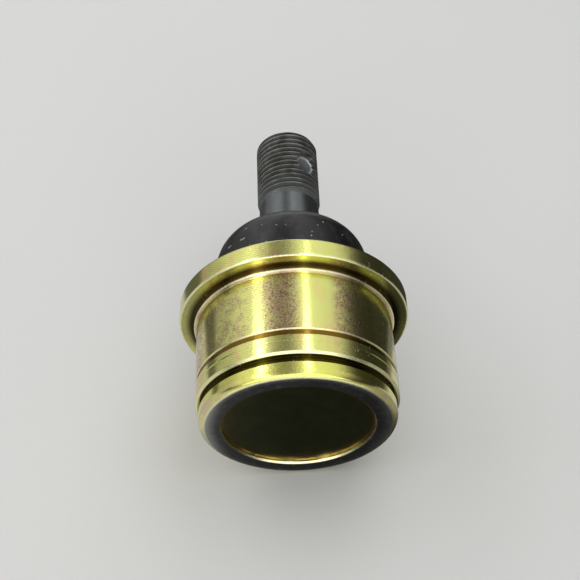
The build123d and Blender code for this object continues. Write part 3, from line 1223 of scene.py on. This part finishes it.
@dataclass
class BallStud(Assembly):
    """The stud: ball, waist, boot land, taper, rolled thread and cross hole."""

    ball_mm: float = 13.5
    ball_flat_mm: float = 4.5
    waist_mm: float = 7.0
    waist_fillet_mm: float = 1.6
    waist_top_mm: float = 19.5
    boot_land_mm: float = 8.5
    boot_land_bottom_mm: float = 21.7
    taper_bottom_mm: float = 26.002
    taper_top_mm: float = 42.002
    shank_mm: float = 7.5
    segments: int = 192
    hole_segments: int = 72
    sharp_deg: float = 30.0
    hole: CrossHole = CrossHole()
    thread: ThreadForm = field(default_factory=ThreadForm)
    finish: BlackPhosphate = field(default_factory=BlackPhosphate)

    def plain_outline(self) -> list[Point]:
        """The outline from the flat under the ball up to where the thread starts."""
        flat = -math.sqrt(self.ball_mm**2 - self.ball_flat_mm**2)
        waist = math.sqrt(self.ball_mm**2 - self.waist_mm**2)
        ball = arc((self.ball_flat_mm, flat), (self.ball_mm, 0.0), (self.waist_mm, waist), 48)
        corners: list[Corner] = [(r, z, 0.0) for r, z in ball[:-3]]
        corners += [
            (self.waist_mm, waist, self.waist_fillet_mm),
            (self.waist_mm, self.waist_top_mm, self.waist_fillet_mm),
            (self.boot_land_mm, self.boot_land_bottom_mm, 0.5),
            (self.boot_land_mm, self.taper_bottom_mm, 0.6),
            (self.shank_mm, self.taper_top_mm, 0.3),
            (self.shank_mm, self.thread.bottom_mm, 0.0),
        ]
        return [(0.0, flat), *broken_edges(corners, steps=6)]

    def threaded(self) -> tuple[np.ndarray, list[tuple[int, ...]]]:
        """The threaded end as a helical grid.

        Returns:
            Its points in metres and its faces.
        """
        form, phases = self.thread, self.thread.phases()
        turns = math.ceil((form.top_mm - form.bottom_mm) / form.pitch_mm) + 3
        samples = np.array([turn + share for turn in range(turns) for share in phases])
        angles = np.arange(self.segments) * (math.tau / self.segments)
        advance = samples[:, None] + (angles / math.tau)[None, :]
        height = form.bottom_mm + (advance - 2.0) * form.pitch_mm
        radius_at = np.clip(height, form.bottom_mm, form.top_mm)
        radius = form.radius(samples[:, None] + 0 * advance, radius_at, self.shank_mm)
        angle = angles[None, :] + 0 * advance
        points = np.stack([radius * np.cos(angle), radius * np.sin(angle), radius_at], axis=2) * MM
        rows, faces = len(samples), []
        for row in range(rows - 1):
            for i in range(self.segments):
                wrap = i == self.segments - 1
                j, other = (0, row + len(phases)) if wrap else (i + 1, row)
                if other + 1 < rows:
                    here, next_column = row * self.segments + i, other * self.segments + j
                    above = next_column + self.segments, here + self.segments
                    faces.append((here, next_column, *above))
        return points.reshape(-1, 3), faces

    def build(self) -> None:
        """Builds the stud and drills its cross hole."""
        points, faces = self.threaded()
        outline, start, top = self.plain_outline(), len(points), self.thread.top_mm
        angles = np.arange(self.segments) * (math.tau / self.segments)
        ring = np.stack([np.cos(angles), np.sin(angles), 0 * angles], axis=1)
        rings = [*outline, (self.thread.radius_mm - self.thread.tip_chamfer_mm, top)]
        parts = [points, *((ring * radius + (0, 0, height)) * MM for radius, height in rings)]
        parts.append(np.array([[0, 0, top]]) * MM)
        faces += band_faces(len(outline), self.segments, start=start)
        tip = start + len(outline) * self.segments
        middle = tip + self.segments
        faces += [(tip + i, tip + (i + 1) % self.segments, middle) for i in range(self.segments)]
        mesh = clean_mesh("stud_blank", np.concatenate(parts), faces, self.sharp_deg)
        stud = self.put("threaded_ball_stud", mesh, Slot.STUD)
        self.drill(stud)
        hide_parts("ball_stud")
        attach(stud, Body.STUD.value)

    def drill(self, stud: bpy.types.Object) -> None:
        """Cuts the cross hole, flared at both ends.

        Args:
            stud: The stud, whose mesh is changed.
        """
        lathe = Lathe(segments=self.hole_segments)
        drill = lathe.spin("cross_drill", self.hole.outline(), closed=False)
        raised = Matrix.Translation((0, 0, self.hole.height_mm * MM))
        drill.transform(raised @ Matrix.Rotation(math.pi / 2, 4, "X"))
        cutter = add_object("cross_drill", drill)
        cut = stud.modifiers.new("cross_hole", "BOOLEAN")
        cut.object = cutter
        cut.operation = "DIFFERENCE"
        cut.solver = "EXACT"
        graph = bpy.context.evaluated_depsgraph_get()
        drilled = bpy.data.meshes.new_from_object(stud.evaluated_get(graph))
        stud.modifiers.clear()
        stud.data = drilled
        drilled.materials.clear()
        drilled.shade_smooth()
        drilled.set_sharp_from_angle(angle=math.radians(self.sharp_deg))
        bpy.data.objects.remove(cutter)

    def dress(self) -> None:
        """Gives the stud its finish."""
        self.pieces[0].data.materials.append(self.finish.material(self.hole))


@dataclass
class DustBoot(Assembly):
    """The rubber boot over the ball's mouth, with its two wire rings."""

    bead_bottom_mm: float = 11.165
    bead_top_mm: float = 13.265
    bead_inner_mm: float = 15.752
    base_mm: float = 18.502
    side_mm: tuple[Point, ...] = (
        (18.502, 13.265), (18.922, 15.465), (19.1, 19.065), (18.8, 22.465),
        (17.9, 25.6), (16.15, 28.15), (13.7, 29.75), (11.152, 30.402),
    )
    inner_mm: tuple[Point, ...] = (
        (9.01, 28.302), (11.152, 28.602), (13.2, 28.05), (15.0, 26.8),
        (16.2, 24.9), (17.4, 19.665), (16.802, 13.665),
    )
    crown_lip_mm: float = 0.25
    collar_mm: float = 9.852
    top_mm: float = 31.402
    lip_bottom_mm: float = 28.302
    lip_inner_bottom_mm: float = 8.51
    lip_inner_top_mm: float = 8.31
    sag_mm: float = 0.10
    waves: tuple[tuple[float, float, float, float], ...] = (
        (2.0, 0.6, 0.0, 0.5),
        (3.0, -1.1, 2.0, 0.3),
        (7.0, 0.0, 5.0, 0.08),
    )
    fixed_mm: Point = (0.6, 0.4)
    finish: BootRubber = field(default_factory=BootRubber)
    wire: DrawnMetal = DrawnMetal(
        "ring_wire_bright", srgb(196, 194, 188), srgb(150, 140, 124), 0.30, Noise(7.0)
    )

    def outline(self) -> list[Point]:
        """The boot's closed outline, up the outside, over the lip and down the inside."""
        (wall, wall_foot), (lip, _) = self.inner_mm[-1], self.inner_mm[0]
        crown, crown_height = self.side_mm[-1]
        lower: list[Corner] = [
            (wall, wall_foot, 0.0),
            (wall, self.bead_top_mm, 0.12),
            (self.bead_inner_mm, self.bead_top_mm, 0.25),
            (self.bead_inner_mm, self.bead_bottom_mm, 0.25),
            (self.base_mm, self.bead_bottom_mm, 0.35),
            (self.base_mm, self.bead_top_mm, 0.0),
        ]
        upper: list[Corner] = [
            (crown, crown_height, 0.0),
            (crown - self.crown_lip_mm, crown_height, 0.12),
            (self.collar_mm, crown_height, 0.18),
            (self.collar_mm, self.top_mm, 0.25),
            (self.lip_inner_top_mm, self.top_mm, 0.2),
            (self.lip_inner_bottom_mm, self.lip_bottom_mm, 0.2),
            (lip, self.lip_bottom_mm, 0.0),
        ]
        side, inner = smooth_curve(self.side_mm, 8), smooth_curve(self.inner_mm, 6)
        return broken_edges(lower)[:-1] + side[:-1] + broken_edges(upper)[:-1] + inner[:-1]

    def settle(self, angle: np.ndarray, radius: np.ndarray, height: np.ndarray) -> np.ndarray:
        """How far the soft wall stands out of true.

        Args:
            angle: The angle from +X, in radians.
            radius: The wall's radius, in millimetres; not used.
            height: Its height, in millimetres.

        Returns:
            The outward shift, in millimetres.
        """
        span = np.clip((height - self.bead_top_mm) / (self.side_mm[-1][1] - self.bead_top_mm), 0, 1)
        waves = sum(
            np.cos(count * angle + phase + twist * span) * share
            for count, phase, twist, share in self.waves
        )
        return -self.sag_mm * np.sin(np.pi * span) ** 2 * (1 + waves)

    def build(self) -> None:
        """Turns the boot and lets it bend between its base and its lip."""
        lathe = Lathe(segments=224, sharp_deg=50.0)
        mesh = lathe.spin("rubber_boot", self.outline(), shape=self.settle)
        boot = self.put("rubber_boot", mesh, Slot.BOOT)
        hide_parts("dust_boot")
        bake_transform(boot)

    def dress(self) -> None:
        """Gives the boot and its rings their finishes."""
        self.pieces[0].data.materials.append(self.finish.material())
        wire = self.wire.material()
        self.dress_node("boot_base_ring", wire)
        self.dress_node("boot_neck_ring", wire)


# Studio


@dataclass
class PhotoCamera:
    """The camera at the photograph's viewing angle."""

    focal_px: float = 1050.0
    frame_px: float = 580.0
    sensor_mm: float = 36.0
    azimuth_deg: float = -41.126
    elevation_deg: float = -36.284
    roll_deg: float = 2.412
    ball_mm: tuple[float, float, float] = (1.184, -13.452, -244.971)

    def axes(self) -> tuple[Vector, Vector, Vector]:
        """The camera's own axes.

        Returns:
            Right, up and back, in the CAD frame.
        """
        turn, tilt = math.radians(self.azimuth_deg), math.radians(self.elevation_deg)
        level = math.cos(tilt)
        back = Vector((math.sin(turn) * level, -math.cos(turn) * level, math.sin(tilt)))
        right = Vector((0, 0, 1)).cross(back).normalized()
        up = back.cross(right)
        roll = math.radians(self.roll_deg)
        cos, sin = math.cos(roll), math.sin(roll)
        return right * cos - up * sin, up * cos + right * sin, back

    def build(self) -> None:
        """Makes the camera and sets it as the scene's."""
        right, up, back = self.axes()
        data = bpy.data.cameras.new("photo_camera")
        data.sensor_width = self.sensor_mm
        data.lens = self.focal_px * self.sensor_mm / self.frame_px
        data.clip_start, data.clip_end = 0.01, 20.0
        camera = add_object("photo_camera", data)
        x, y, z = self.ball_mm
        place = (right * x + up * y + back * z) * -MM
        turned = Matrix((right, up, back)).transposed().to_4x4()
        camera.matrix_world = Matrix.Translation(place) @ turned
        bpy.context.scene.camera = camera


@dataclass(frozen=True)
class Patch:
    """A piece of the sphere round the part, seen in its turned sides.

    The columns are angles round the body from the side that faces the camera, and a vertical
    side there mirrors the sky at twice that angle.
    """

    name: str
    from_column_deg: float
    to_column_deg: float
    from_rise_deg: float
    to_rise_deg: float
    shade: float
    soft_deg: float = 0.5


def grey(shade: float) -> Colour:
    """A grey of that linear shade."""
    return shade, shade, shade, 1.0


@dataclass(frozen=True)
class PaintedSky:
    """What the turned metal mirrors above the floor: soft windows, and the dark between them."""

    profile: tuple[Point, ...] = (
        (-90.0, 0.25), (-52.0, 0.42), (-42.0, 0.50), (-37.0, 0.60), (-31.0, 0.86), (-25.0, 0.94),
        (-19.0, 1.00), (-15.5, 0.96), (-12.0, 0.66), (-9.5, 0.36), (-4.0, 0.30), (-0.5, 0.52),
        (3.0, 0.88), (6.0, 1.00), (14.0, 0.98), (20.0, 0.86), (24.5, 0.80), (28.5, 0.46),
        (32.0, 0.16), (36.0, 0.05), (48.0, 0.03), (90.0, 0.03),
    )
    patches: tuple[Patch, ...] = (
        Patch("strip", 7.2, 8.6, -5.0, 72.0, 2.0),
        Patch("second_strip", -22.0, -16.5, -50.0, 30.0, 3.6, 0.8),
        Patch("lower_strip", 5.4, 8.6, -50.0, 31.8, 3.0, 0.8),
        Patch("tail_strip", 5.8, 8.4, 28.0, 31.4, 7.0, 0.5),
        Patch("second_tail_strip", -22.0, -17.0, 28.0, 31.4, 6.4, 0.5),
        Patch("left_card", -95.0, -38.0, -50.0, -18.0, 0.05, 2.0),
        Patch("low_window", -70.0, 58.0, -95.0, -50.0, 1.8, 2.0),
        Patch("lowest_window", -95.0, 95.0, -95.0, -60.0, 1.8, 2.0),
        Patch("top_left", -95.0, -60.0, 44.0, 95.0, 1.2, 2.0),
        Patch("top_right", 60.0, 95.0, 44.0, 95.0, 1.2, 2.0),
    )

    def material(self) -> bpy.types.Material:
        """Builds the shader.

        Returns:
            The material for the dome that mirrors see.
        """
        tree = ShaderTree("painted_sky")
        column = tree.angle * (90 / math.pi)
        rise = tree.math("ARCTAN2", tree.height, tree.radius) * (180 / math.pi)
        stops = ((place / 180 + 0.5, grey(shade)) for place, shade in self.profile)
        colour = tree.ramp(column / 180 + 0.5, *stops)
        for patch in self.patches:
            soft = patch.soft_deg, patch.soft_deg
            inside = tree.band(column, patch.from_column_deg, patch.to_column_deg, *soft)
            inside = inside * tree.band(rise, patch.from_rise_deg, patch.to_rise_deg, *soft)
            colour = tree.mix(inside, colour, grey(patch.shade))
        return tree.finish({"Color": colour}, "ShaderNodeEmission")


@dataclass(frozen=True)
class MirroredFloor:
    """The painted floor that mirrors see, with a painted shadow near the part: how light it is, in
    millimetres right of the part and along it.
    """

    shadow: float = 0.04
    behind_mm: Point = (4.0, 14.0)
    left_mm: Point = (0.0, -26.0)
    left_shade: float = 0.09
    left_low_mm: Point = (76.0, 60.0)
    left_low_shade: float = 0.46
    right_mm: Point = (26.0, 36.0)
    right_low_mm: Point = (53.0, 48.0)
    right_low_shade: float = 0.14
    right_near_mm: Point = (42.0, 32.0)
    right_near_shade: float = 0.40
    beyond_mm: Point = (95.0, 125.0)
    beyond_shade: float = 0.40
    below_mm: Point = (-55.0, -80.0)
    below_half_mm: Point = (100.0, 70.0)
    beside_mm: Point = (14.0, 0.0)
    beside_left_mm: Point = (-16.0, -40.0)
    beside_left_shade: float = 0.50
    beside_right_mm: Point = (28.0, 50.0)
    beside_right_shade: float = 0.30
    below_shade: float = 0.90

    def material(self) -> bpy.types.Material:
        """Builds the shader.

        Returns:
            The material for the sheet that mirrors see in the floor's place.
        """
        tree = ShaderTree("mirrored_floor")
        across, along = tree.across, tree.along
        left, right = tree.step(across, *self.left_mm), tree.step(across, *self.right_mm)
        in_front = tree.step(along, *self.behind_mm)
        low = left * tree.step(along, *self.left_low_mm) * self.left_low_shade
        low = low + right * tree.step(along, *self.right_low_mm) * self.right_low_shade
        low = low + right * tree.step(along, *self.right_near_mm) * self.right_near_shade
        shade = self.shadow + left * self.left_shade + low * in_front
        beyond = tree.step(along, *self.beyond_mm) * (1 - left) * (1 - right)
        shade = shade + beyond * self.beyond_shade
        near_middle = tree.step(tree.math("ABSOLUTE", across), *self.below_half_mm)
        below = tree.step(along, *self.below_mm) * near_middle
        shade = shade + below * self.below_shade
        beside = tree.step(across, *self.beside_left_mm) * self.beside_left_shade
        beside = beside + tree.step(across, *self.beside_right_mm) * self.beside_right_shade
        shade = shade + beside * tree.step(along, *self.beside_mm) * (1 - below)
        return tree.finish({"Color": tree.mix(shade, grey(0.0), grey(1.0))}, "ShaderNodeEmission")


@dataclass
class Studio:
    """A pale floor, soft lamps, and the painted dome and floor that the turned metal mirrors."""

    facing_deg: float = -131.3
    flange_mm: Point = (27.0, 6.715)
    land_mm: Point = (23.0, -15.55)
    floor_size: float = 3.0
    floor_colour: Colour = srgb(224, 224, 222)
    floor_grain: Colour = srgb(180, 180, 178)
    floor_noise: Noise = Noise(1.2, 3.0, 0.6)
    sheet_size: float = 0.9
    mirrored_floor: MirroredFloor = MirroredFloor()
    world_seen: float = 0.86
    world_fill: float = 0.55
    distance: float = 0.62
    widest_lamp_deg: float = 50.0
    sky_share: float = 0.96
    sky: PaintedSky = PaintedSky()
    windows: tuple[Patch, ...] = (
        Patch("left_window", -40.0, -17.0, -12.0, 68.0, 1.0),
        Patch("right_window", 2.0, 23.0, -12.0, 68.0, 1.0),
        Patch("low_window", -45.0, 45.0, -80.0, -50.0, 2.6),
    )

    def facing(self) -> Vector:
        """The direction from the axis to the side that the camera sees."""
        turn = math.radians(self.facing_deg)
        return Vector((math.cos(turn), math.sin(turn), 0))

    def toward(self, column_deg: float, rise_deg: float) -> Vector:
        """The direction that a column mirrors at a rise above the housing's own level."""
        turn, rise = math.radians(self.facing_deg + 2 * column_deg), math.radians(rise_deg)
        level = math.cos(rise)
        return Vector((math.cos(turn) * level, math.sin(turn) * level, math.sin(rise)))

    def window(self, patch: Patch) -> None:
        """Adds a soft rectangular lamp, which mirrors see as the dome shows it.

        Args:
            patch: What the lamp fills.
        """
        rise = (patch.from_rise_deg + patch.to_rise_deg) / 2
        middle = self.toward((patch.from_column_deg + patch.to_column_deg) / 2, rise)
        columns_deg = patch.to_column_deg - patch.from_column_deg
        half_turn = math.radians(min(columns_deg, self.widest_lamp_deg))
        width = 2 * math.tan(half_turn) * math.cos(math.radians(rise))
        height = 2 * math.tan(math.radians(patch.to_rise_deg - patch.from_rise_deg) / 2)
        data = bpy.data.lights.new(patch.name, "AREA")
        data.shape = "RECTANGLE"
        data.size, data.size_y = width * self.distance, height * self.distance
        data.energy = patch.shade * math.pi * data.size * data.size_y
        lamp = add_object(patch.name, data)
        lamp.visible_glossy = False
        turned = middle.to_track_quat("Z", "Y").to_matrix().to_4x4()
        lamp.matrix_world = Matrix.Translation(middle * self.distance) @ turned

    @staticmethod
    def only_mirrored(thing: bpy.types.Object) -> None:
        """Lets a thing be seen in mirrors only."""
        thing.visible_camera = thing.visible_diffuse = False
        thing.visible_shadow = thing.visible_transmission = False

    def dome(self, columns: int = 64, rows: int = 32) -> None:
        """Adds the dome that shows mirrors their sky.

        Args:
            columns: How many faces it has round.
            rows: How many faces it has in height.
        """
        shape = bmesh.new()
        radius = self.distance * self.sky_share
        bmesh.ops.create_uvsphere(shape, u_segments=columns, v_segments=rows, radius=radius)
        mesh = bpy.data.meshes.new("sky_dome")
        shape.to_mesh(mesh)
        shape.free()
        mesh.materials.append(self.sky.material())
        dome = add_object("sky_dome", mesh)
        dome.rotation_euler = (0.0, 0.0, math.radians(self.facing_deg))
        self.only_mirrored(dome)

    def floor(self) -> None:
        """Lays the floor that flange and land rest on, and the sheet that mirrors see instead."""
        away = -self.facing()
        (top_r, top_z), (low_r, low_z) = self.flange_mm, self.land_mm
        along = (away * (top_r - low_r) + Vector((0, 0, top_z - low_z))).normalized()
        side = away.cross(Vector((0, 0, 1)))
        touch = (away * low_r + Vector((0, 0, low_z))) * MM
        turned = Matrix((side, along, side.cross(along))).transposed().to_4x4()
        place = Matrix.Translation(touch) @ turned
        floor = self.slab("floor", self.floor_size, place)
        floor.data.materials.append(self.floor_material())
        floor.visible_shadow = floor.visible_diffuse = floor.visible_glossy = False
        sheet = self.slab("floor_for_mirrors", self.sheet_size, place)
        sheet.data.materials.append(self.mirrored_floor.material())
        self.only_mirrored(sheet)

    @staticmethod
    def slab(name: str, size: float, place: Matrix) -> bpy.types.Object:
        """Adds a flat square.

        Args:
            name: The square's name.
            size: Its side, in metres.
            place: Where its middle is, and how it is turned.

        Returns:
            The new object.
        """
        half = size / 2
        mesh = bpy.data.meshes.new(name)
        corners = [(-half, -half, 0), (half, -half, 0), (half, half, 0), (-half, half, 0)]
        mesh.from_pydata(corners, [], [(0, 1, 2, 3)])
        square = add_object(name, mesh)
        square.matrix_world = place
        return square

    def floor_material(self) -> bpy.types.Material:
        """Builds the floor's shader.

        Returns:
            A pale matt finish that is clear from behind.
        """
        tree = ShaderTree("pale_floor")
        grain = tree.noise(self.floor_noise)
        colour = tree.mix(grain * 0.1, self.floor_colour, self.floor_grain)
        matt = {"Base Color": colour, "Roughness": 0.7, "Specular IOR Level": 0.2}
        shader = tree.add("ShaderNodeBsdfPrincipled", None, matt)
        clear = tree.add("ShaderNodeBsdfTransparent")
        behind = tree.add("ShaderNodeNewGeometry", output="Backfacing")
        surface = tree.add("ShaderNodeMixShader", None, {0: behind, 1: shader, 2: clear})
        tree.add("ShaderNodeOutputMaterial", None, {"Surface": surface})
        return tree.owner

    def world(self) -> None:
        """Makes the world: pale where it is seen or mirrored, and a plain fill light."""
        world = bpy.data.worlds.new("studio_air")
        tree = ShaderTree(world.name, world)
        rays = tree.add("ShaderNodeLightPath", output="Is Camera Ray")
        mirrored = tree.most(rays.other("Is Glossy Ray"), rays.other("Is Transmission Ray"))
        seen = tree.most(rays, mirrored)
        strength = self.world_fill + seen * (self.world_seen - self.world_fill)
        air = tree.add("ShaderNodeBackground", None, {"Strength": strength})
        tree.add("ShaderNodeOutputWorld", None, {"Surface": air})
        bpy.context.scene.world = world

    def build(self) -> None:
        """Sets the studio."""
        self.world()
        self.floor()
        for patch in self.windows:
            self.window(patch)
        self.dome()
        bpy.context.scene.view_settings.view_transform = "Standard"


def main() -> None:
    """Builds and dresses every sub-assembly, then sets the studio and the camera."""
    logging.basicConfig(level=logging.INFO, format="%(message)s")
    for assembly in (Housing(), BearingSeat(), BallStud(), DustBoot()):
        assembly.build()
        assembly.dress()
        for piece in assembly.pieces:
            LOG.info("%s: %s with %d faces", type(assembly).__name__, piece.name, len(piece.data.polygons))
    Studio().build()
    PhotoCamera().build()
    bpy.context.view_layer.update()


if __name__ == "__main__":
    main()
